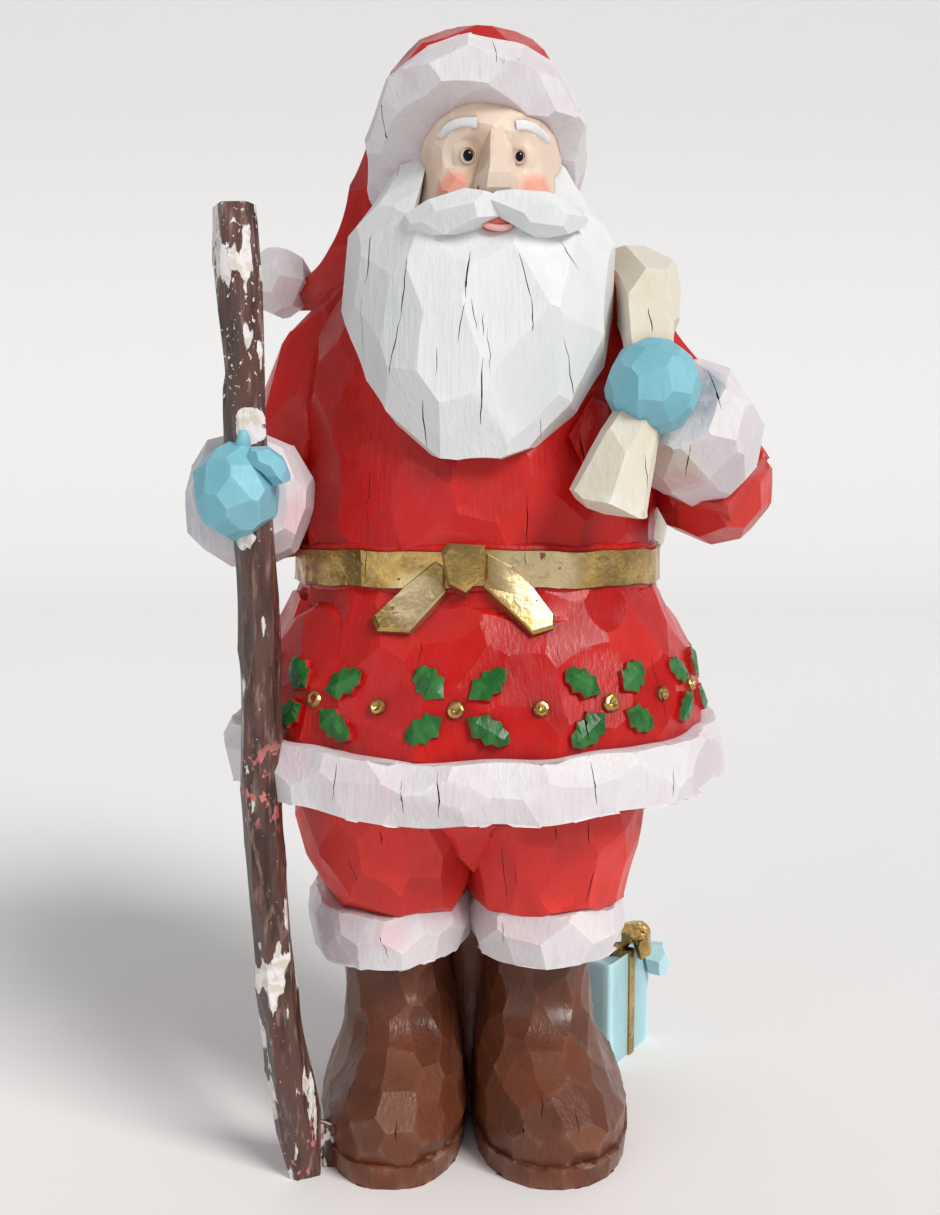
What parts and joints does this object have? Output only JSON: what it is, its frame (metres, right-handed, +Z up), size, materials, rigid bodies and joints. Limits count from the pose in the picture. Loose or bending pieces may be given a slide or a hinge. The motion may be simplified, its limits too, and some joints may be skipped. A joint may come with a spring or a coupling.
{
  "type": "santa figurine",
  "caption": "Standing Father Christmas figurine with a sack over the shoulder, a walking stick and a gift box at the heel, carved-wood look, free-standing.",
  "frame": {"origin": "centre of the bounding box at the underside of the boots", "axes": "+Z up, -Y to the front of the figure, +X to the viewer's right from the front, where the sack is held"},
  "size_m": [0.1532, 0.1412, 0.305],
  "materials": {
    "painted_casting": "hand painted in red, white, brown, gold, green and pale blue over a knife-cut surface, satin"
  },
  "bodies": {
    "root": {"santa_figurine": "painted_casting"}
  },
  "joints": []
}
